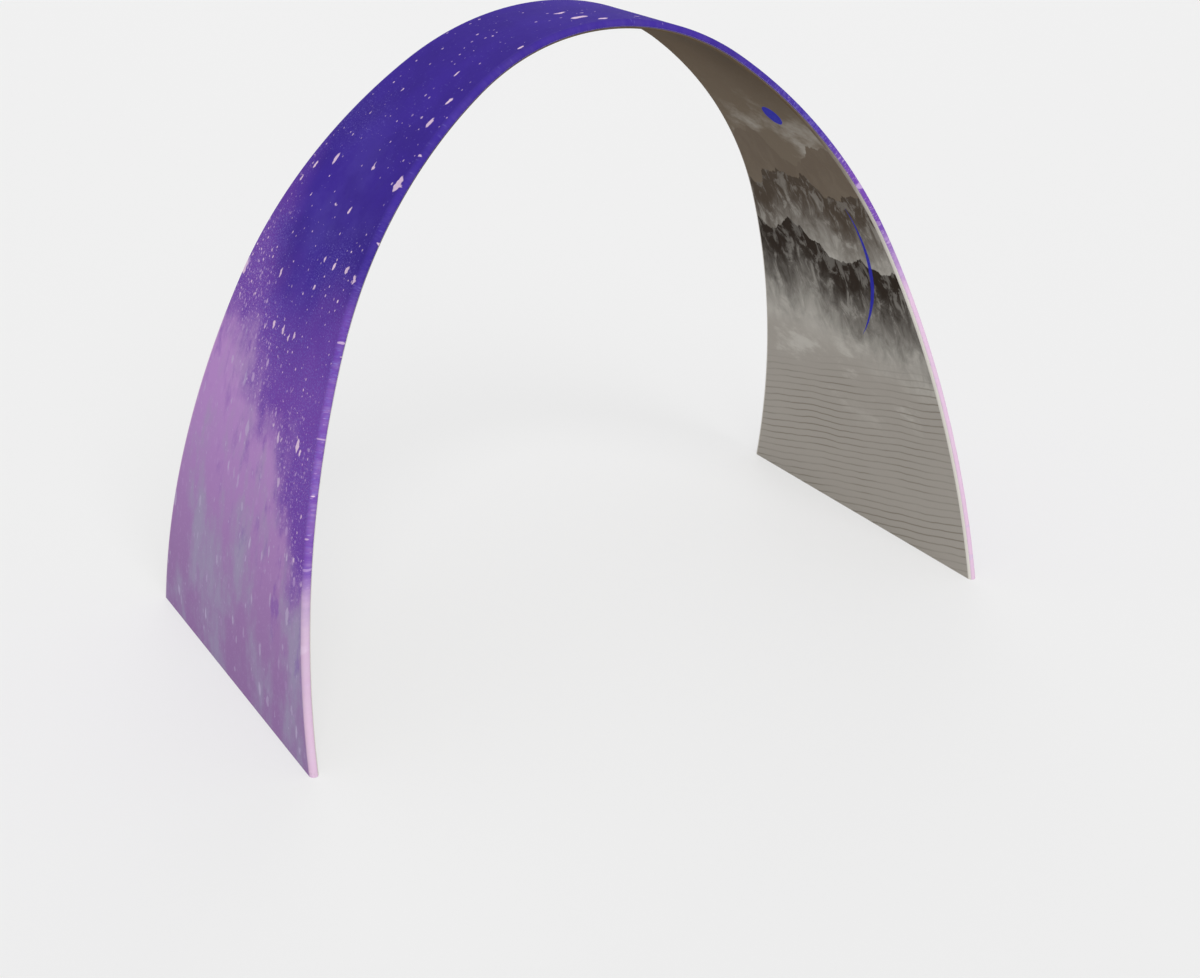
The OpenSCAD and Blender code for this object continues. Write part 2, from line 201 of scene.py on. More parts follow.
class StageSetup(bpy.types.PropertyGroup):
    """Floor, light and camera"""

    floor: colour("Floor", "Colour of the plain floor", 232, 232, 232)
    floor_lift: share("Floor lift", "Share of plain white that the camera sees on the floor", 0.55)
    key_level: share("Key", "Light on a surface that faces the key light", 0.48, 2)
    fill_level: share("Fill", "Light on a surface that faces the fill light", 0.10, 2)
    sky_level: share("Sky", "Light from all round", 0.50, 2)
    key_angle: angle("Lamp softness", "Width of the key and the fill light in the sky", 34)
    camera_place: bpy.props.FloatVectorProperty(
        name="Camera place", description="Where the camera stands", default=(-3.47512, -5.99422, 3.6077),
        subtype="TRANSLATION", unit="LENGTH", precision=4,
    )
    camera_tilt: angle("Camera tilt", "Angle of the camera up from straight down", 65.595)
    camera_turn: angle("Camera turn", "Turn of the camera to its left, below zero to its right", -30.111)
    lens: bpy.props.FloatProperty(name="Lens", description="Focal length in millimetres", default=54.33)
    shift: bpy.props.FloatProperty(name="Shift", description="Sideways shift of the frame", default=0.0209)


GROUPS = {
    "arch_hoop": HoopShape,
    "arch_cover": CoverCut,
    "arch_print": PrintColours,
    "arch_lining": LiningColours,
    "arch_hardware": HardwareFinish,
    "arch_stage": StageSetup,
}


# Where the hoops and the cover run


def spoke(a):
    """Direction at an angle from the ground, in the hoop's own plane."""
    return Vector((cos(a), sin(a)))


class Hoop:
    """The front hoop's centreline and the fabric round it. The angle a is that of a place's spoke."""

    def __init__(self, scene):
        shape = scene.arch_hoop
        cut = scene.arch_cover
        self.lean = shape.hoop_lean
        self.half_spacing = shape.spacing / 2
        self.lower, self.shoulder, self.crown = shape.lower_radius, shape.shoulder_radius, shape.crown_radius
        self.foot = shape.foot_lean
        self.knee = self.foot + shape.lower_sweep
        self.neck = self.knee + shape.shoulder_sweep
        lower_step = self.lower - self.shoulder
        shoulder_step = self.shoulder - self.crown
        inset = lower_step * cos(self.knee) + shoulder_step * cos(self.neck)
        self.lower_c = Vector((-inset, -self.lower * sin(self.foot)))
        self.shoulder_c = self.lower_c + lower_step * spoke(self.knee)
        self.crown_c = self.shoulder_c + shoulder_step * spoke(self.neck)
        self.crown_run = self.crown * (pi / 2 - self.neck)
        self.shoulder_run = self.shoulder * shape.shoulder_sweep
        self.reach = shape.tube_diameter / 2 + cut.tube_gap + cut.thickness / 2
        self.band_turn = cut.band_turn
        self.seam_turn = cut.seam_gap / self.reach

    def angle_at(self, run):
        """Angle of the spoke at a distance from the crown."""
        if run <= self.crown_run:
            return pi / 2 - run / self.crown
        run -= self.crown_run
        if run <= self.shoulder_run:
            return self.neck - run / self.shoulder
        return self.knee - (run - self.shoulder_run) / self.lower

    def run_at(self, a):
        """Distance from the crown to a place on a lower tube."""
        return self.crown_run + self.shoulder_run + (self.knee - a) * self.lower

    def axis_at(self, a):
        """The tube's axis in the hoop's own plane."""
        if a >= self.neck:
            centre, radius = self.crown_c, self.crown
        elif a >= self.knee:
            centre, radius = self.shoulder_c, self.shoulder
        else:
            centre, radius = self.lower_c, self.lower
        return centre + radius * spoke(a)

    def contact(self, a):
        """Angle round the tube at which the skin, straight from hoop to hoop, touches it."""
        return atan(sin(a) * tan(self.lean))

    def half_gap(self, a):
        """Half the distance between the axes of the two hoops."""
        return self.half_spacing - self.axis_at(a).y * sin(self.lean)

    def rim_point(self, a, turn):
        """A point of the fabric round the front right tube. Turn 0 faces away from the arch's middle."""
        axis = self.axis_at(a)
        away, forward = self.reach * cos(turn), self.reach * sin(turn)
        x, up = axis.x + away * cos(a), axis.y + away * sin(a)
        y = -self.half_spacing + up * sin(self.lean) - forward * cos(self.lean)
        return Vector((x, y, up * cos(self.lean) + forward * sin(self.lean)))

    def foot_angle(self, turn_at):
        """Angle at which a line of the cover, given as its turn round the tube, meets the floor."""
        a = self.foot
        for _ in range(4):
            turn = turn_at(a)
            drop = self.lower * sin(self.foot) - self.reach * sin(turn) * tan(self.lean)
            a = asin(drop / (self.lower + self.reach * cos(turn)))
        return a


# Width of the print round a rim, as a share of the fabric's width there
PRINT_SMEAR = 0.3


@dataclass
class Line:
    """One line of the cover from foot to foot: a turn round a tube, or a share of the way between two."""

    hoop: Hoop
    inner: bool = False
    # On a rim: the share of the way from the turn rim_from to the skin, or to a gap short of it
    step: float = 0
    rim_from: float = None
    short: float = 0
    face: int = -1
    # On the skin: the place between the hoops, from -1 at the front to 1 at the back
    across: float = None

    def __post_init__(self):
        self.foot_run = self.hoop.run_at(self.hoop.foot_angle(self.turn))

    def contact(self, a):
        return self.hoop.contact(a) + (pi if self.inner else 0)

    def end(self, a):
        """The turn at which the rim meets the straight skin, or stops short of it at a seam."""
        return self.contact(a) - self.short

    def turn(self, a):
        if self.across is not None:
            return self.contact(a)
        return self.rim_from + (self.end(a) - self.rim_from) * self.step

    def place(self, along):
        """Point, places along and across the cloth and across the print, and distance to the seam."""
        run = abs(along) * self.foot_run
        a = self.hoop.angle_at(run)
        turn = self.turn(a)
        point = self.hoop.rim_point(a, turn)
        rim_width = 0 if self.rim_from is None else abs(self.end(a) - self.rim_from) * self.hoop.reach
        gap = self.hoop.half_gap(a)
        if self.across is None:
            beyond = abs(turn - self.end(a)) * self.hoop.reach
            seam = rim_width - beyond
            point.y *= -self.face
            cloth = self.face * (gap + beyond)
            drawn = self.face * (gap + beyond * PRINT_SMEAR)
        else:
            point.y = self.across * gap
            cloth = drawn = point.y
            seam = rim_width + gap - abs(point.y)
        side = 1 if along >= 0 else -1
        point.x *= side
        return point, side * run, cloth, drawn, seam


def rim_lines(hoop, face, first, columns, inner=False, short=0):
    """Lines of fabric round a hoop, from one turn up to the skin."""
    return [
        Line(hoop, inner=inner, step=i / columns, rim_from=first, short=short, face=face)
        for i in range(columns + 1)
    ]


def skin_lines(hoop, columns, inner=False, rim_from=None):
    """Lines of fabric from hoop to hoop."""
    return [
        Line(hoop, inner=inner, rim_from=rim_from, across=2 * i / columns - 1)
        for i in range(columns + 1)
    ]


def check_hoop(hoop):
    """Stops the script if the hoops described here aren't the frame's hoops."""
    _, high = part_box("outer_skin")
    edge = hoop.rim_point(hoop.foot_angle(hoop.contact), hoop.contact(hoop.foot)).x
    top = hoop.rim_point(pi / 2, hoop.contact(pi / 2)).z
    for name, mine, theirs in (("width", edge, high.x), ("height", top, high.z)):
        if abs(mine - theirs) > MM:
            raise RuntimeError(f"the hoops' {name} is {mine:.4f} m here and {theirs:.4f} m in the frame")


# Pieces and their meshes


def new_object(name, data):
    """A new object in the scene."""
    thing = bpy.data.objects.new(name, data)
    bpy.context.scene.collection.objects.link(thing)
    return thing


def new_piece(name, bm):
    """A new object with the mesh that was worked on."""
    mesh = bpy.data.meshes.new(name)
    bm.to_mesh(mesh)
    bm.free()
    return new_object(name, mesh)


def merged(mesh):
    """A copy of a mesh to work on, without corners that lie on one another."""
    bm = bmesh.new()
    bm.from_mesh(mesh)
    bmesh.ops.remove_doubles(bm, verts=bm.verts, dist=0.01 * MM)
    return bm


def add_block(bm, middle, size):
    matrix = Matrix.Translation(middle) @ Matrix.Diagonal((*size, 1))
    bmesh.ops.create_cube(bm, size=1, matrix=matrix)


def sharp_edges(bm, degrees):
    """Edges at which the surface turns by more than an angle."""
    limit = radians(degrees)
    return [edge for edge in bm.edges if edge.is_manifold and edge.calc_face_angle() > limit]


def soften(bm, edges, width, segments):
    """Rounds edges off, or breaks them with a single segment."""
    bmesh.ops.bevel(
        bm, geom=edges, offset=width, segments=segments, profile=0.5, affect="EDGES", material=-1
    )


def smooth(bm):
    for face in bm.faces:
        face.smooth = True


def hand_over(piece, material, body, slot, *nodes):
    """Gives a new piece its material, and lets it ride and stand for its CAD nodes."""
    piece.data.materials.append(material)
    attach(piece, body)
    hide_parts(*nodes)


def dress(node, material):
    """Puts a material on a CAD node."""
    data = frame["nodes"][node].data
    data.materials.clear()
    data.materials.append(material)


def sheet_mesh(name, lines, rows, thickness):
    """A sheet of fabric: a grid that is bent onto the lines, with maps of its own, thickened both ways."""
    bm = bmesh.new()
    columns = len(lines) - 1
    bmesh.ops.create_grid(bm, x_segments=rows, y_segments=columns, size=1)
    maps = [bm.loops.layers.uv.new(key) for key in ("cloth", "print", "edge")]
    values = {}
    for vert in bm.verts:
        line = lines[round((vert.co.y + 1) / 2 * columns)]
        point, along, cloth, drawn, seam = line.place(vert.co.x)
        vert.co = point
        values[vert.index] = ((along, cloth), (along, drawn), (seam, point.z))
    for face in bm.faces:
        for loop in face.loops:
            for layer, value in zip(maps, values[loop.vert.index]):
                loop[layer].uv = value
    smooth(bm)
    bm.normal_update()
    top = max(bm.faces, key=lambda f: f.calc_center_median().z)
    wants_up = not lines[len(lines) // 2].inner
    if (top.normal.z > 0) != wants_up:
        bmesh.ops.reverse_faces(bm, faces=bm.faces)
    piece = new_piece(name, bm)
    wall = piece.modifiers.new("Fabric", "SOLIDIFY")
    wall.thickness = thickness
    wall.offset = 0
    wall.use_even_offset = True
    flat = piece.modifiers.new("Flat edges", "WEIGHTED_NORMAL")
    flat.mode = "FACE_AREA"
    flat.weight = 100
    return piece


def cut_size(lines, stretch):
    """Width, length and area that the sheet was cut to, before it was stretched over the hoops."""
    steps = 60
    widths = []
    for i in range(steps + 1):
        along = 2 * i / steps - 1
        widths.append(abs(lines[-1].place(along)[2] - lines[0].place(along)[2]))
    full = 2 * max(line.foot_run for line in lines)
    area = sum((a + b) / 2 for a, b in zip(widths, widths[1:])) / steps * full
    return (max(widths) / stretch, full / stretch), area / stretch ** 2


def stretch_sheet(name, lines, cut, material, slot, *nodes):
    """Makes a sheet that is stretched over the hoops, in place of its CAD nodes."""
    piece = sheet_mesh(name, lines, cut.rows, cut.thickness)
    hand_over(piece, material, "root", slot, *nodes)
    flat, area = cut_size(lines, cut.stretch)


# Building blocks of the materials


def feed(socket, value):
    """Links a socket to an output, or gives it a number, a vector or a display colour."""
    if isinstance(value, bpy.types.NodeSocket):
        socket.id_data.links.new(value, socket)
    else:
        socket.default_value = linear(value) if socket.type == "RGBA" else value


def add(kind, inputs=(), tree=None, **settings):
    """A new node in the tree of its inputs, which are given in their order, by number or by name."""
    inputs = inputs if isinstance(inputs, dict) else dict(enumerate(inputs))
    if tree is None:
        tree = next(value.id_data for value in inputs.values() if isinstance(value, bpy.types.NodeSocket))
    node = tree.nodes.new("ShaderNode" + kind)
    for key, value in settings.items():
        setattr(node, key, value)
    for key, value in inputs.items():
        feed(node.inputs[key], value)
    return node


def maths(operation, *values):
    return add("Math", values, operation=operation).outputs[0]


def chain(operation, values):
    """The values joined two by two, from the first to the last."""
    result = values[0]
    for value in values[1:]:
        result = maths(operation, result, value)
    return result


def total(*values):
    return chain("ADD", values)


def product(*values):
    return chain("MULTIPLY", values)


def highest(*values):
    return chain("MAXIMUM", values)


def scaled(value, factor, offset=0):
    return maths("MULTIPLY_ADD", value, factor, offset)


def apart(value, middle):
    """Distance between two values."""
    return maths("ABSOLUTE", maths("SUBTRACT", value, middle))


def waves(value, pitch, push=None):
    """A sine wave along a value, pushed sideways by another one."""
    phase = scaled(value, TURN / pitch)
    return maths("SINE", phase if push is None else total(phase, push))


def ease(value, low, high, to_low=0, to_high=1):
    """A soft step from low to high."""
    inputs = (value, low, high, to_low, to_high)
    return add("MapRange", inputs, interpolation_type="SMOOTHSTEP").outputs[0]


def blend(factor, first, second):
    """A colour between two colours."""
    return add("Mix", {0: factor, 6: first, 7: second}, data_type="RGBA").outputs[2]


def split(vector):
    return add("SeparateXYZ", (vector,)).outputs


def shove(where, shift=(0, 0), x=1, y=1, z=1):
    """The same place, moved and scaled, so that two patterns don't repeat each other."""
    return add("Mapping", {"Vector": where, "Location": (*shift, 0), "Scale": (x, y, z)}).outputs[0]


def noise(where, scale, detail=2, roughness=0.5, distortion=0):
    settings = {"Scale": scale, "Detail": detail, "Roughness": roughness, "Distortion": distortion}
    return add("TexNoise", {"Vector": where, **settings}).outputs["Fac"]


def scatter(where, cell, sizes, density, rarity, edge, faint):
    """Scattered drops, one to a cell, of mixed sizes. Density is the share of cells that hold one."""
    smallest, largest = sizes
    cells = add("TexVoronoi", {"Vector": where, "Scale": 1 / cell}, voronoi_dimensions="2D").outputs
    pick, size, strength = split(cells["Color"])
    radius = scaled(maths("POWER", size, rarity), (largest - smallest) / cell, smallest / cell)
    shape = ease(maths("SUBTRACT", radius, cells["Distance"]), 0, edge * largest / cell)
    return product(shape, maths("LESS_THAN", pick, density), scaled(strength, -faint, 1))


def seen_or_mirrored(tree):
    """1 for rays from the camera, straight or by way of metal or glass."""
    rays = add("LightPath", tree=tree).outputs
    return highest(rays["Is Camera Ray"], rays["Is Glossy Ray"], rays["Is Transmission Ray"])


class Coat:
    """A material and the nodes that paint it."""

    def __init__(self, name, roughness=0.5, metallic=0, specular=0.5, sheen=0):
        self.material = bpy.data.materials.new(name)
        self.material.use_nodes = True
        self.tree = self.material.node_tree
        self.surface = self.tree.nodes["Principled BSDF"]
        names = ("Roughness", "Metallic", "Specular IOR Level", "Sheen Weight")
        for socket, value in zip(names, (roughness, metallic, specular, sheen)):
            self.surface.inputs[socket].default_value = value

    def place(self):
        """Place on the piece, in metres."""
        return add("TexCoord", tree=self.tree).outputs["Object"]

    def map(self, name):
        """One of the piece's own maps, as a vector."""
        return add("UVMap", tree=self.tree, uv_map=name).outputs["UV"]

    def paint(self, value):
        feed(self.surface.inputs["Base Color"], value)

    def rough(self, value):
        feed(self.surface.inputs["Roughness"], value)

    def bump(self, height, distance, strength=1):
        node = add("Bump", {"Strength": strength, "Distance": distance, "Height": height})
        feed(self.surface.inputs["Normal"], node.outputs[0])


class Cloth(Coat):
    """A stretched polyester knit, which knows each point's place on its sheet."""

    # Size of one loop of the knit, and distance between two puckers
    knit_pitch = 0.0009
    pucker_pitch = 0.011

    def __init__(self, name, cut):
        super().__init__(name, roughness=0.8, specular=0.05, sheen=0.01)
        self.cut = cut
        self.cloth = self.map("cloth")
        self.along, self.over, _ = split(self.cloth)
        self.seam, self.height, _ = split(self.map("edge"))

    def stitches(self, along, distance, inset):
        """A dashed row of stitches at a distance from an edge."""
        dash = ease(waves(along, self.cut.stitch_pitch), -0.75, -0.35)
        return product(dash, ease(apart(distance, inset), 0.0005, 0.0002))

    def seam_row(self):
        return self.stitches(self.along, self.seam, self.cut.stitch_inset)

    def hem_row(self):
        return self.stitches(self.over, self.height, self.cut.hem_height)

    def knit(self):
        """Height of a fine warp knit, from 0 to 1: rows of small loops."""
        lean = maths("PINGPONG", scaled(self.over, 1 / self.knit_pitch), 0.5)
        rows = waves(self.along, self.knit_pitch, scaled(lean, pi))
        return scaled(product(rows, waves(self.over, self.knit_pitch)), 0.5, 0.5)

    def sewn(self, ground, stitches, thread, cover=0.6):
        """The finished material: its print and thread, on knit with stitches and puckers beside the seam."""
        self.paint(blend(scaled(stitches, cover), ground, thread))
        self.rough(scaled(noise(self.cloth, 35, 4), 0.16, 0.72))
        wander = scaled(noise(self.cloth, 60, 2), 14)
        pucker = product(waves(self.along, self.pucker_pitch, wander), ease(self.seam, 0.012, 0), 0.16)
        self.bump(total(scaled(self.knit(), 0.05), pucker, scaled(stitches, 0.4)), 0.001)
        return self.material


class PrintedCloth(Cloth):
    """A knit with a picture, which is smeared where it goes round a rim."""

    def __init__(self, name, cut):
        super().__init__(name, cut)
        self.where = self.map("print")
        self.leg, self.across, _ = split(self.where)
        self.run = maths("ABSOLUTE", self.leg)
        self.side = maths("SIGN", self.leg)

    def cloud(self, shift, scale, detail, roughness=0.5, distortion=0, x=1, y=1):
        """Noise over the picture, with a shift of its own."""
        return noise(shove(self.where, shift, x, y), scale, detail, roughness, distortion)

    def ragged(self, scale, amount):
        """A place that is pushed about by a noise, for shapes with ragged edges."""
        wind = add("TexNoise", {"Vector": self.where, "Scale": scale, "Detail": 4}).outputs["Color"]
        push = (wind, (amount, amount, amount), self.where)
        return add("VectorMath", push, operation="MULTIPLY_ADD").outputs[0]


# The printed cover


def powder_edge(coat):
    """Distance past the powder's edge without and with its lobes, clouds and lift."""
    slant = product(coat.across, scaled(coat.side, 0.525, -0.105))
    past = maths("SUBTRACT", coat.run, total(slant, scaled(coat.side, -0.10, 1.88)))
    clouds = coat.cloud((3.1, 1.7), 1.5, 4, 0.55)
    lobes = coat.cloud((0, 0), 6.5, 6, 0.62, x=0.6)
    level = total(past, scaled(clouds, 1.2, -0.6), scaled(lobes, 0.7, -0.35))
    lift = ease(product(coat.across, coat.side), -0.10, -0.42, 0, 0.36)
    return past, level, clouds, lift


def print_ground(coat, colours, level, clouds, lift):
    """Powder pink on the legs that thins out into indigo over the crown. Returns its colour and pinkness."""
    pink = ease(level, -0.17, 0.27)
    veil = ease(total(coat.run, scaled(clouds, 1, -0.5), scaled(lift, 1.3)), 1.25, 1.95)
    shade = ease(coat.cloud((1, 9), 2.6, 6, 0.65), 0.3, 0.7)
    indigo = blend(shade, colours.indigo, toned(colours.indigo, 0.90))
    glow = ease(coat.cloud((4, 4), 2.4, 7, 0.62), 0.47, 0.68)
    middle = ease(apart(coat.run, 1.35), 0.75, 0.15)
    indigo = blend(product(glow, middle, 0.11), indigo, colours.mist)
    ground = blend(scaled(veil, 0.85), indigo, colours.violet)
    haze = ease(coat.cloud((7, 2), 3.4, 8, 0.66, x=0.45), 0.44, 0.64)
    haze = product(haze, ease(coat.run, 1.8, 2.5, 0.30, 0.85))
    legs = blend(ease(coat.run, 1.9, 3.1), colours.powder, colours.foot_powder)
    legs = blend(haze, legs, colours.haze)
    thin = ease(coat.cloud((2, 7), 13, 6, 0.62, x=0.5), 0.52, 0.70)
    legs = blend(product(thin, ease(level, 0.75, 0.15), 0.55), legs, colours.violet)
    return blend(pink, ground, legs), pink


def powder_grains(coat, colours, reach):
    """Loose grains and lumps of powder, ever fewer away from its edge. Returns how much they cover."""
    soft = coat.ragged(150, 0.003)
    torn = coat.ragged(60, 0.014)
    grains = scatter(
        soft, colours.grain_cell, (0.0012, 0.0034), ease(reach, -0.50, 0.10, 0, 0.95),
        rarity=1.2, edge=0.6, faint=0.6,
    )
    crumbs = scatter(
        shove(soft, (0.4, 0.9), x=0.8), colours.crumb_cell, (0.0024, 0.0068),
        ease(reach, -0.42, 0.10, 0, 0.70), rarity=1.6, edge=0.35, faint=0.6,
    )
    blobs = scatter(
        shove(torn, (0.2, 0.1), x=0.6), colours.blob_cell, (0.005, 0.014),
        ease(reach, -0.34, 0.06, 0, 0.40), rarity=2, edge=0.3, faint=0.4,
    )
    covered = highest(scaled(grains, 0.50), scaled(crumbs, 0.70), scaled(blobs, 0.88))
    return product(covered, ease(reach, -0.55, 0.05, 0.55, 1))


def print_flecks(coat, colours, pink, past):
    """How strongly mist and dust, and specks, drops and splats cover the ground."""
    patches = ease(coat.cloud((2, 4), 1.9, 4), 0.36, 0.60)
    band = ease(apart(past, -0.45), 1, 0.15)
    density = product(patches, scaled(band, 0.92, 0.08))
    soft = coat.ragged(110, 0.005)
    torn = coat.ragged(34, 0.030)
    mist = scatter(
        soft, colours.mist_cell, (0.0022, 0.0052), scaled(density, 1.2), rarity=1.2, edge=0.8, faint=0.5
    )
    specks = scatter(
        shove(soft, (0.4, 0.9), x=0.8), colours.speck_cell, (0.0018, 0.0058),
        scaled(density, 0.55, 0.25), rarity=2.4, edge=0.4, faint=0.75,
    )
    drops = scatter(
        shove(torn, (0.2, 0.1), x=0.55), colours.drop_cell, (0.004, 0.012),
        scaled(density, 0.40, 0.24), rarity=1.8, edge=0.25, faint=0.25,
    )
    splats = scatter(
        shove(torn, (0.75, 0.31), x=0.42), colours.splat_cell, (0.007, 0.017), 0.72,
        rarity=1.4, edge=0.2, faint=0.12,
    )
    dust = ease(coat.cloud((6, 0), 130, 3, 0.7), 0.46, 0.66)
    dust = product(dust, density, scaled(band, 0.40, 0.10))
    fine = highest(product(mist, scaled(band, 0.34, 0.30)), dust)
    bold = highest(specks, drops, splats)
    return product(fine, scaled(pink, -1, 1)), product(bold, scaled(pink, -0.45, 0.95))


def pale_smears(coat, pink):
    """Soft pale smears along the legs, in the pink only. Returns how much they cover."""
    where = shove(coat.ragged(28, 0.022), (0.9, 0.6), x=0.33)
    smears = scatter(where, 0.060, (0.004, 0.013), 0.46, rarity=1.6, edge=0.45, faint=0.6)
    return product(smears, pink, 0.75)


def rim_smear(coat, colours, rim, pink, ground):
    """Print that is pulled round the tube: streaks across the rim, and more pink towards the seam. Over the
    indigo, a faint painted sheen on the rim.
    """
    low = ease(coat.run, 1.35, 2.15)
    streak = ease(coat.cloud((0, 0), 26, 7, 0.70, y=0.06), 0.36, 0.74)
    near_seam = ease(coat.seam, 0.034, 0.012, 0.35, 1)
    dark = scaled(pink, -1, 1)
    soft = product(streak, rim, near_seam, dark, scaled(low, 0.24, 0.03))
    # Painted sheen: where the print is indigo, the rim is made a little paler and bluer, as if it caught
    # more light
    ground = blend(product(rim, dark, 0.04), ground, colours.mist)
    ground = blend(soft, ground, colours.rim_powder)
    rare = ease(coat.cloud((4, 0), 26, 2, 0.6, y=0.05), 0.73, 0.77)
    return blend(product(rare, rim, scaled(low, 0.45, 0.15)), ground, colours.fleck)


def printed_polyester(scene):
    """Stretched knit with the powder print."""
    colours = scene.arch_print
    coat = PrintedCloth("printed_polyester", scene.arch_cover)
    past, level, clouds, lift = powder_edge(coat)
    ground, pink = print_ground(coat, colours, level, clouds, lift)
    rim = ease(coat.seam, 0.044, 0.034)
    mist, bold = print_flecks(coat, colours, pink, past)
    ground = blend(mist, ground, colours.mist)
    ground = blend(pale_smears(coat, pink), ground, colours.pale_fleck)
    # The rims are paler than the skin beside them, on the right leg more than on the left one: partly the
    # print stretched round the rim, partly a painted sheen where the rim faces the front
    left_paleness_and_sheen = ease(coat.leg, -2.75, -3.05, 0.58, 0.74)
    paleness_and_sheen = highest(left_paleness_and_sheen, ease(coat.leg, 0, 0.1, 0, 0.80))
    ground = blend(product(rim, pink, paleness_and_sheen), ground, colours.rim_powder)
    grains = powder_grains(coat, colours, total(level, lift))
    ground = blend(product(grains, scaled(pink, -0.80, 1)), ground, colours.grain)
    painted = blend(bold, ground, blend(pink, colours.fleck, colours.pale_fleck))
    painted = rim_smear(coat, colours, rim, pink, painted)
    rows = highest(coat.seam_row(), coat.hem_row())
    return coat.sewn(painted, rows, scene.arch_lining.thread)


class ARCH_OT_printed_cover(bpy.types.Operator):
    """Make the printed outer skin with the two rims that turn round the hoop tubes"""

    bl_idname = "arch.printed_cover"
    bl_label = "Printed Cover"

    def execute(self, context):
        scene = context.scene
        hoop, cut = Hoop(scene), scene.arch_cover
        check_hoop(hoop)
        front, back = (rim_lines(hoop, face, hoop.band_turn, cut.rim_columns) for face in FACES.values())
        lines = front + skin_lines(hoop, cut.skin_columns, rim_from=hoop.band_turn)[1:-1] + back[::-1]
        stretch_sheet(
            "printed_cover", lines, cut, printed_polyester(scene), "printed_fabric",
            "outer_skin", "front_rim_band", "back_rim_band",
        )
        return {"FINISHED"}


# The lining and its seam strips


def lining_ridge(coat, ground, height, relief, hills, seed, crest, mist, depth):
    """One chain of hills across the leg, dark at its crest and lost in mist below."""
    line = add("CombineXYZ", (coat.across, scaled(coat.side, 5.3, seed), 0)).outputs[0]
    outline = noise(line, hills, 9, 0.52)
    below = maths("SUBTRACT", coat.run, scaled(outline, -relief, height + relief / 2))
    rock = coat.cloud((seed, 0), 9, 9, 0.68, 0.6, y=1.7)
    gully = ease(total(rock, scaled(below, -0.25)), 0.47, 0.56)
    face = blend(scaled(gully, 0.22), crest, mist)
    lost = ease(total(below, scaled(rock, 0.5, -0.25)), 0.05, depth)
    return blend(ease(below, 0, 0.006), ground, blend(lost, face, mist))


def lining_ripples(coat, colours, ground):
    """Thin wavy lines across the lower legs, like raked sand."""
    wobble = scaled(noise(coat.where, 2.4, 3), 0.05)
    slope = scaled(coat.across, -0.26)
    phase = scaled(total(coat.run, wobble, slope), 1 / colours.ripple_pitch)
    line = ease(apart(maths("FRACT", phase), 0.5), 0.16, 0.02)
    low = ease(total(coat.run, slope, wobble), 2.36, 2.56)
    worn = ease(coat.cloud((8, 1), 7, 5, y=0.3), 0.3, 0.65)
    return blend(product(line, low, scaled(worn, 0.6, 0.25)), ground, colours.ripple)


def brush_stroke(along, across, start, end, middle, slope, bow, width=0.013):
    """A thin brush stroke along the leg, as an arc with tapered ends. Returns how much it covers."""
    t = scaled(along, 2 / (end - start), -(start + end) / (end - start))
    square = product(t, t)
    path = total(scaled(t, slope, middle), scaled(square, bow))
    half = highest(scaled(square, -width, width), 0.1 * MM)
    covered = ease(maths("DIVIDE", apart(across, path), half), 1, 0.7)
    return product(covered, maths("LESS_THAN", square, 1))


def brush_disc(along, across, place, middle, radius=0.055):
    """A round brushed patch. Returns how much it covers."""
    x = maths("SUBTRACT", along, place)
    y = maths("SUBTRACT", across, middle)
    square = total(product(x, x), product(y, y))
    return ease(maths("SQRT", square), radius, radius * 0.93)


def lining_picture(coat, colours):
    """Hills in mist under an umber sky with painted shade towards its front edge near the crown, over raked
    ground, with a few blue brush marks.
    """
    drift = coat.cloud((5, 3), 1.1, 6, 0.6)
    fade = ease(total(coat.run, scaled(drift, 0.5, -0.25)), 0.35, 1.5)
    ground = blend(fade, colours.umber, colours.dusk)
    # Painted shade: the sky is made darker towards the front edge near the crown, where the lining lies in
    # shade
    painted_shade = product(ease(coat.across, 0.20, -0.30), ease(coat.run, 1.2, 0.5), 0.55)
    ground = blend(painted_shade, ground, toned(colours.umber, 0.72))
    puffs = ease(coat.cloud((2, 8), 2.2, 9, 0.65, x=1.3, y=0.7), 0.50, 0.66)
    ground = blend(product(puffs, ease(coat.run, 0.7, 1.3), 0.6), ground, colours.mist)
    middling = [(a + b) / 2 for a, b in zip(colours.far_ridge, colours.near_ridge)]
    # Place of the tops from the crown, relief, fineness, seed, colours of crest and mist, mist's depth
    ridges = (
        (1.22, 0.75, 2.6, 1, colours.far_ridge, colours.dusk, 0.45),
        (1.48, 0.90, 2, 4, middling, colours.mist, 0.60),
        (1.80, 1.00, 1.6, 9, colours.near_ridge, colours.mist, 0.70),
    )
    for ridge in ridges:
        ground = lining_ridge(coat, ground, *ridge)
    snow = coat.cloud((9, 6), 2.6, 9, 0.68, x=1.5, y=0.6)
    plain = blend(ease(snow, 0.50, 0.64), colours.stone, colours.mist)
    level = total(coat.run, scaled(snow, 0.5, -0.25))
    ground = blend(ease(level, 2.22, 2.40), ground, plain)
    ground = blend(ease(coat.run, 2.45, 2.75), ground, colours.stone)
    ground = lining_ripples(coat, colours, ground)
    along, across, _ = split(coat.ragged(30, 0.008))
    marked = highest(
        brush_disc(along, across, place=1.02, middle=-0.10),
        brush_stroke(along, across, start=1.50, end=2.20, middle=-0.30, slope=0.06, bow=0.10),
        brush_disc(along, across, place=-1.10, middle=0.18),
        brush_stroke(along, across, start=-2.15, end=-1.45, middle=0.24, slope=0.09, bow=-0.08),
    )
    bristle = ease(noise(coat.where, 220, 3), 0.25, 0.5)
    return blend(product(marked, scaled(bristle, 0.3, 0.68)), ground, colours.brush)


def lining_polyester(scene):
    """Stretched knit with the misty picture."""
    coat = PrintedCloth("lining_polyester", scene.arch_cover)
    picture = lining_picture(coat, scene.arch_lining)
    return coat.sewn(picture, coat.hem_row(), scene.arch_lining.thread)


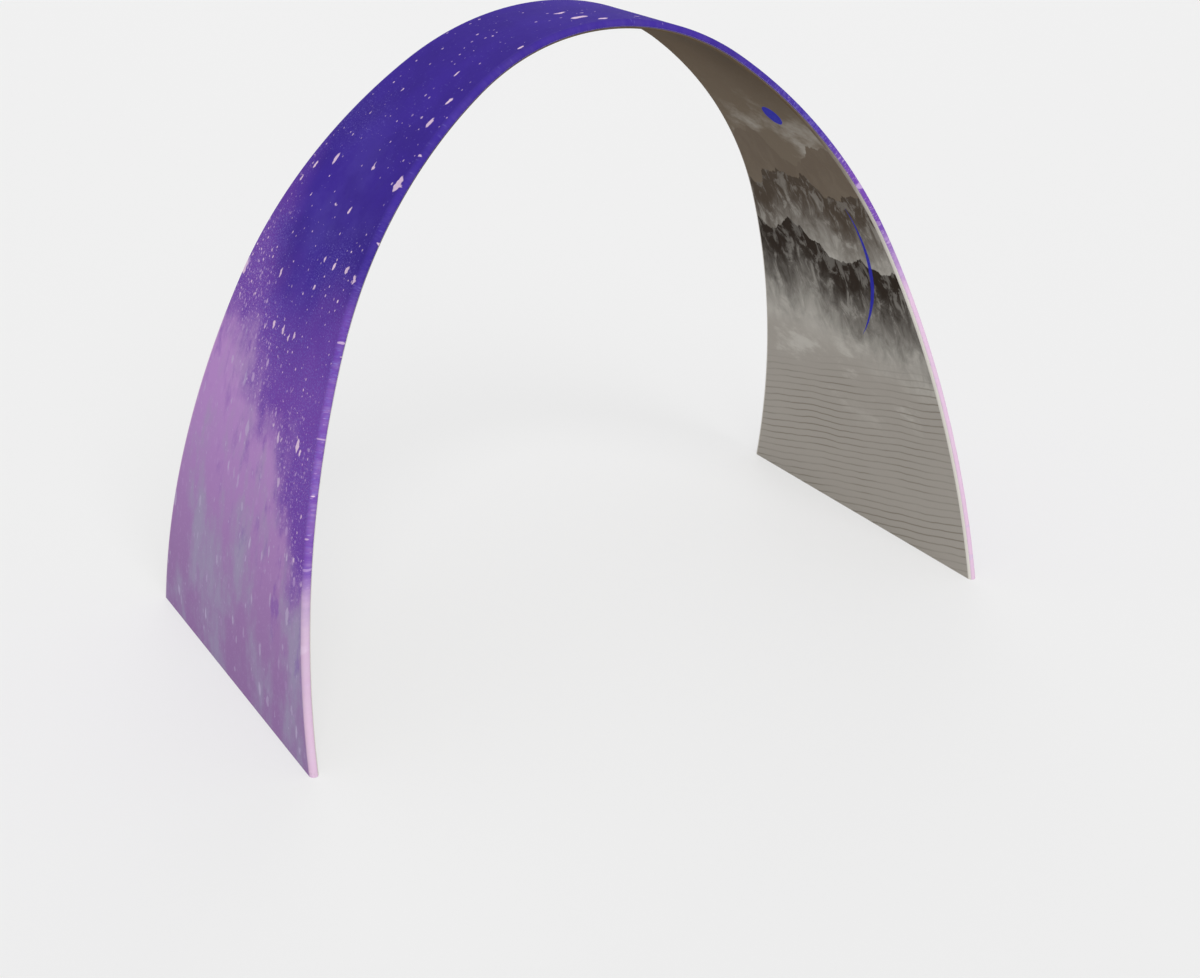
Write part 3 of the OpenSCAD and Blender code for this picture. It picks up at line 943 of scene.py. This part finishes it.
def seam_polyester(scene):
    """Plain bleed of the lining's colours on the strip beside the seam."""
    colours = scene.arch_lining
    coat = Cloth("seam_polyester", scene.arch_cover)
    run = maths("ABSOLUTE", coat.along)
    drift = scaled(noise(coat.cloth, 4, 5), 0.5, -0.25)
    ground = blend(ease(total(run, drift), 0.9, 1.9), colours.umber, colours.strip)
    return coat.sewn(ground, coat.seam_row(), colours.thread, cover=0.5)


class ARCH_OT_lining(bpy.types.Operator):
    """Make the inner skin over the walkway"""

    bl_idname = "arch.lining"
    bl_label = "Lining"

    def execute(self, context):
        scene = context.scene
        cut = scene.arch_cover
        lines = skin_lines(Hoop(scene), cut.skin_columns, inner=True)
        stretch_sheet("lining", lines, cut, lining_polyester(scene), "lining_fabric", "inner_skin")
        return {"FINISHED"}


class ARCH_OT_seam_strips(bpy.types.Operator):
    """Make the strip between each printed rim and the lining"""

    bl_idname = "arch.seam_strips"
    bl_label = "Seam Strips"

    def execute(self, context):
        scene = context.scene
        hoop, cut = Hoop(scene), scene.arch_cover
        material = seam_polyester(scene)
        first = hoop.band_turn + hoop.seam_turn
        columns = max(2, cut.rim_columns // 2)
        for name, face in FACES.items():
            lines = rim_lines(hoop, face, first, columns, inner=True, short=hoop.seam_turn)
            stretch_sheet(f"{name}_seam_strip", lines, cut, material, "seam_fabric", f"{name}_seam_tape")
        return {"FINISHED"}


# Zips under the feet

STOP_LENGTH = 3 * MM
TOOTH_HEIGHT = 1.8 * MM
# A tooth's width and its distance from the zip's middle, as shares of the zip's width
TOOTH_WIDTH = 0.62
TOOTH_SHIFT = 0.19
# A tooth's length, as a share of the pitch
TOOTH_LENGTH = 0.44
# The cord along a tape's inner edge, and the thinner rest, as shares of the tape's width and thickness
CORD_WIDTH = 0.12
TAPE_THINNESS = 0.6
# Width, length and height of the gap through a slider's nose
NOSE_GAP = (2 * MM, 10 * MM, 2 * MM)


def zip_tape_weave(hardware):
    """Woven tape with a fine twill."""
    coat = Coat("zip_tape_weave", roughness=0.8, specular=0.2, sheen=0.2)
    place = coat.place()
    x, y, _ = split(place)
    twill = waves(total(x, y), 0.0008)
    worn = ease(noise(place, 90, 4), 0.3, 0.8)
    coat.paint(blend(worn, hardware.tape, toned(hardware.tape, 1.5)))
    coat.bump(scaled(twill, 0.5, 0.5), 0.0001, 0.6)
    return coat.material


def moulded_teeth(hardware):
    """Dark moulded plastic, a little scuffed."""
    coat = Coat("moulded_teeth", roughness=0.35)
    place = coat.place()
    scuff = ease(noise(place, 240, 3), 0.35, 0.75)
    coat.paint(blend(scuff, hardware.teeth, toned(hardware.teeth, 2)))
    coat.rough(scaled(scuff, 0.2, 0.3))
    coat.bump(noise(place, 900, 2), 0.00005, 0.5)
    return coat.material


def tape_boxes(node):
    """The boxes of the two tapes in a CAD node, and the zip's middle between them."""
    mesh = frame["nodes"][node].data
    low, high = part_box(node)
    middle = (low.x + high.x) / 2
    gap = min(abs(v.co.x - middle) for v in mesh.vertices)
    west = (low, Vector((middle - gap, high.y, high.z)))
    east = (Vector((middle + gap, low.y, low.z)), high)
    return west, east, middle


def tape_piece(name, low, high, inner_x):
    """One woven tape, thick at the edge that holds the teeth."""
    bm = bmesh.new()
    bmesh.ops.create_grid(bm, x_segments=10, y_segments=60, size=1)
    middle, half = (low + high) / 2, (high - low) / 2
    for vert in bm.verts:
        vert.co = Vector((middle.x + vert.co.x * half.x, middle.y + vert.co.y * half.y, middle.z))
    smooth(bm)
    piece = new_piece(name, bm)
    thickness = piece.vertex_groups.new(name="thickness")
    for vert in piece.data.vertices:
        away = abs(vert.co.x - inner_x) / (2 * half.x)
        thickness.add([vert.index], 1 if away < CORD_WIDTH else TAPE_THINNESS, "REPLACE")
    wall = piece.modifiers.new("Tape", "SOLIDIFY")
    wall.thickness = high.z - low.z
    wall.offset = 0
    wall.vertex_group = thickness.name
    return piece


def teeth_piece(name, node, pitch):
    """A pair of interlocked teeth, repeated along the zip behind its end stop."""
    low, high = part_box(node)
    middle_x, middle_z, width = (low.x + high.x) / 2, (low.z + high.z) / 2, high.x - low.x
    start = low.y + STOP_LENGTH
    bm = bmesh.new()
    for i, side in enumerate((-1, 1)):
        where = (middle_x + side * width * TOOTH_SHIFT, start + pitch * (0.25 + 0.5 * i), middle_z)
        add_block(bm, where, (width * TOOTH_WIDTH, pitch * TOOTH_LENGTH, TOOTH_HEIGHT))
    soften(bm, bm.edges[:], width=0.2 * MM, segments=1)
    piece = new_piece(name, bm)
    array = piece.modifiers.new("Teeth", "ARRAY")
    array.use_relative_offset = False
    array.use_constant_offset = True
    array.constant_offset_displace = (0, pitch, 0)
    array.count = int((high.y - start) / pitch)
    return piece


def stop_piece(name, node):
    """The small block that ends the zip at the front."""
    low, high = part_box(node)
    where = ((low.x + high.x) / 2, low.y + STOP_LENGTH / 2, (low.z + high.z) / 2)
    bm = bmesh.new()
    add_block(bm, where, (high.x - low.x, STOP_LENGTH, high.z - low.z))
    soften(bm, bm.edges[:], width=0.4 * MM, segments=2)
    return new_piece(name, bm)


def slider_piece(name, node, tapes):
    """The slider, with a gap through its nose so that it runs over closed teeth."""
    piece = new_piece(name, merged(frame["nodes"][node].data))
    low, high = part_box(node)
    tape_low, tape_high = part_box(tapes)
    bm = bmesh.new()
    add_block(bm, ((low.x + high.x) / 2, high.y, (tape_low.z + tape_high.z) / 2), NOSE_GAP)
    gap = new_piece("nose_gap", bm)
    opening = piece.modifiers.new("Nose Gap", "BOOLEAN")
    opening.operation = "DIFFERENCE"
    opening.solver = "EXACT"
    opening.object = gap
    opened = bpy.data.meshes.new_from_object(piece.evaluated_get(bpy.context.evaluated_depsgraph_get()))
    piece.modifiers.clear()
    bpy.data.objects.remove(gap)
    bm = merged(opened)
    bmesh.ops.dissolve_limit(bm, angle_limit=radians(2), verts=bm.verts, edges=bm.edges)
    soften(bm, sharp_edges(bm, degrees=60), width=0.12 * MM, segments=2)
    bm.to_mesh(piece.data)
    bm.free()
    return piece


class ARCH_OT_zips(bpy.types.Operator):
    """Make the woven tapes, the teeth and the slider of the zip under each foot"""

    bl_idname = "arch.zips"
    bl_label = "Zips"

    def execute(self, context):
        hardware = context.scene.arch_hardware
        weave, plastic = zip_tape_weave(hardware), moulded_teeth(hardware)
        nickel = plated_steel("zip_metal", toned(hardware.steel, 0.9), 0.32)
        for side in SIDES:
            tapes, teeth, slider = (f"{side}_zip_{part}" for part in ("tapes", "teeth", "slider"))
            west, east, middle = tape_boxes(tapes)
            for name, (low, high) in (("west", west), ("east", east)):
                piece = tape_piece(f"{side}_{name}_zip_tape", low, high, middle)
                hand_over(piece, weave, "root", "zip_tape", tapes)
            row = teeth_piece(f"{side}_teeth_row", teeth, hardware.teeth_pitch)
            hand_over(row, plastic, "root", "zip_teeth", teeth)
            hand_over(stop_piece(f"{side}_zip_stop", teeth), plastic, "root", "zip_teeth", teeth)
            hand_over(slider_piece(f"{side}_slider", slider, tapes), nickel, slider, "zip_metal", slider)
            dress(f"{side}_zip_pull", nickel)
        return {"FINISHED"}


# Leaf springs behind the snap buttons

# How far from its button's middle a spring reaches at most
SPRING_REACH = 0.06


def leaf_spring(joint, material):
    """The spring behind one button: the part of its CAD node within reach of the button, with softened
    edges, left in place.
    """
    button, node = joint["child"], joint["deforming_nodes"][0]["node"]
    low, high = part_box(button)
    middle = (low + high) / 2
    bm = merged(frame["nodes"][node].data)
    others = [vert for vert in bm.verts if (vert.co - middle).length > SPRING_REACH]
    bmesh.ops.delete(bm, geom=others, context="VERTS")
    soften(bm, sharp_edges(bm, degrees=30), width=0.15 * MM, segments=2)
    piece = new_piece(button.replace("_button", "_leaf_spring"), bm)
    piece.data.materials.append(material)
    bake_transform(piece)
    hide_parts(node)


class ARCH_OT_leaf_springs(bpy.types.Operator):
    """Make the leaf spring behind each snap button, in its rest shape"""

    bl_idname = "arch.leaf_springs"
    bl_label = "Leaf Springs"

    def execute(self, context):
        material = plated_steel("spring_steel", toned(context.scene.arch_hardware.steel, 0.8), 0.38)
        for joint in frame["joints"]:
            if joint["name"].endswith("_button_press"):
                leaf_spring(joint, material)
        return {"FINISHED"}


# Finishes of the CAD's own rigid pieces


def mill_aluminium(name, base):
    """Drawn aluminium with fine lines, cloudy oxide and small scuffs."""
    coat = Coat(name, roughness=0.35, metallic=1)
    place = coat.place()
    cloud = noise(place, 9, 5, 0.6)
    scuff = ease(noise(place, 160, 5, 0.7), 0.55, 0.75)
    coat.paint(blend(cloud, toned(base, 0.88), base))
    coat.rough(total(scaled(cloud, 0.18, 0.24), scaled(scuff, 0.15)))
    lines = noise(shove(place, z=0.02), 900, 2)
    coat.bump(total(lines, scaled(scuff, 0.6)), 0.00006, 0.5)
    return coat.material


def plated_steel(name, base, roughness):
    """Bright plating, a little cloudy and worn."""
    coat = Coat(name, roughness=roughness, metallic=1)
    place = coat.place()
    cloud = noise(place, 60, 4)
    coat.paint(blend(cloud, toned(base, 0.85), base))
    coat.rough(scaled(noise(place, 500, 4), 0.2, roughness - 0.1))
    coat.bump(noise(place, 1500, 3), 0.00003, 0.4)
    return coat.material


def foot_rubber(base):
    """Dull black rubber with floor dust."""
    coat = Coat("foot_rubber", roughness=0.75, specular=0.35)
    place = coat.place()
    dust = ease(noise(place, 70, 6, 0.65), 0.45, 0.8)
    coat.paint(blend(scaled(dust, 0.5), base, [c + 0.22 for c in base]))
    coat.rough(scaled(dust, 0.15, 0.68))
    coat.bump(noise(place, 700, 3), 0.0001, 0.5)
    return coat.material


class ARCH_OT_metal_finish(bpy.types.Operator):
    """Give tubes, bars, buttons and plugs their finishes"""

    bl_idname = "arch.metal_finish"
    bl_label = "Metal and Rubber Finishes"

    def execute(self, context):
        hardware = context.scene.arch_hardware
        bar = mill_aluminium("bar_aluminium", toned(hardware.aluminium, 0.96))
        endings = {
            "_tube": mill_aluminium("tube_aluminium", hardware.aluminium),
            "_base_bar": bar,
            "_spreader": bar,
            "_button": plated_steel("button_steel", hardware.steel, 0.28),
            "_plug": foot_rubber(hardware.rubber),
        }
        for node in frame["nodes"]:
            for ending, material in endings.items():
                if node.endswith(ending):
                    dress(node, material)
        return {"FINISHED"}


# Floor, light and camera

FLOOR_REACH = 60
# The floor lies this much under the feet
FLOOR_DROP = 0.3 * MM
# Where the two lamps shine from
KEY_FROM = (-0.16, -0.76, 0.63)
FILL_FROM = (0.45, 0.78, 0.44)


def studio_floor(setup):
    """A wide plain floor. The camera sees it nearer to white than it is, shadows included."""
    bm = bmesh.new()
    lowered = Matrix.Translation((0, 0, -FLOOR_DROP))
    bmesh.ops.create_grid(bm, x_segments=1, y_segments=1, size=FLOOR_REACH, matrix=lowered)
    floor = new_piece("floor", bm)
    coat = Coat("floor_paint", roughness=0.7, specular=0.2)
    coat.paint(setup.floor)
    lift = scaled(seen_or_mirrored(coat.tree), setup.floor_lift)
    white = add("Emission", tree=coat.tree).outputs[0]
    mixed = add("MixShader", (lift, coat.surface.outputs[0], white)).outputs[0]
    feed(coat.tree.nodes["Material Output"].inputs["Surface"], mixed)
    floor.data.materials.append(coat.material)


def studio_sky(scene, setup):
    """Even light from all round, and plain white where the camera or a reflection sees it."""
    world = bpy.data.worlds.new("studio")
    scene.world = world
    world.use_nodes = True
    tree = world.node_tree
    tree.nodes.clear()
    light = add("Background", ((1, 1, 1), setup.sky_level), tree).outputs[0]
    white = add("Background", ((1, 1, 1), 1), tree).outputs[0]
    add("OutputWorld", add("MixShader", (seen_or_mirrored(tree), light, white)).outputs[:1])


def soft_lamp(name, towards, level, width):
    """A wide distant lamp. Level 1 lights a surface that faces it to its own colour."""
    lamp = bpy.data.lights.new(name, "SUN")
    lamp.energy = level * pi
    lamp.angle = width
    new_object(name, lamp).rotation_euler = Vector(towards).to_track_quat("Z", "Y").to_euler()


class ARCH_OT_stage(bpy.types.Operator):
    """Set up floor, light and camera"""

    bl_idname = "arch.stage"
    bl_label = "Stage"

    def execute(self, context):
        scene = context.scene
        setup = scene.arch_stage
        scene.view_settings.view_transform = "Standard"
        studio_floor(setup)
        studio_sky(scene, setup)
        soft_lamp("key", KEY_FROM, setup.key_level, setup.key_angle)
        soft_lamp("fill", FILL_FROM, setup.fill_level, setup.key_angle)
        camera = bpy.data.cameras.new("camera")
        camera.sensor_width = 36
        camera.lens = setup.lens
        camera.shift_x = setup.shift
        scene.camera = new_object("camera", camera)
        scene.camera.location = setup.camera_place
        scene.camera.rotation_euler = (setup.camera_tilt, 0, setup.camera_turn)
        return {"FINISHED"}


class ARCH_PT_sidebar(bpy.types.Panel):
    """Lists the steps that dress the arch, with their sizes and colours"""

    bl_idname = "ARCH_PT_sidebar"
    bl_label = "Display Arch"
    bl_space_type = "VIEW_3D"
    bl_region_type = "UI"
    bl_category = "Display Arch"

    def draw(self, context):
        for operator in OPERATORS:
            self.layout.operator(operator.bl_idname)
        for name, group in GROUPS.items():
            box = self.layout.box()
            box.label(text=group.bl_rna.name)
            for key in group.__annotations__:
                box.prop(getattr(context.scene, name), key)


OPERATORS = (
    ARCH_OT_stage,
    ARCH_OT_printed_cover,
    ARCH_OT_lining,
    ARCH_OT_seam_strips,
    ARCH_OT_zips,
    ARCH_OT_leaf_springs,
    ARCH_OT_metal_finish,
)


def register():
    for group in GROUPS.values():
        bpy.utils.register_class(group)
    for name, group in GROUPS.items():
        setattr(bpy.types.Scene, name, bpy.props.PointerProperty(type=group))
    for operator in OPERATORS:
        bpy.utils.register_class(operator)
    bpy.utils.register_class(ARCH_PT_sidebar)


def unregister():
    bpy.utils.unregister_class(ARCH_PT_sidebar)
    for operator in reversed(OPERATORS):
        bpy.utils.unregister_class(operator)
    for name, group in GROUPS.items():
        delattr(bpy.types.Scene, name)
        bpy.utils.unregister_class(group)


def main():
    register()
    bpy.ops.arch.stage()
    bpy.ops.arch.printed_cover()
    bpy.ops.arch.lining()
    bpy.ops.arch.seam_strips()
    bpy.ops.arch.zips()
    bpy.ops.arch.leaf_springs()
    bpy.ops.arch.metal_finish()


if __name__ == "__main__":
    main()
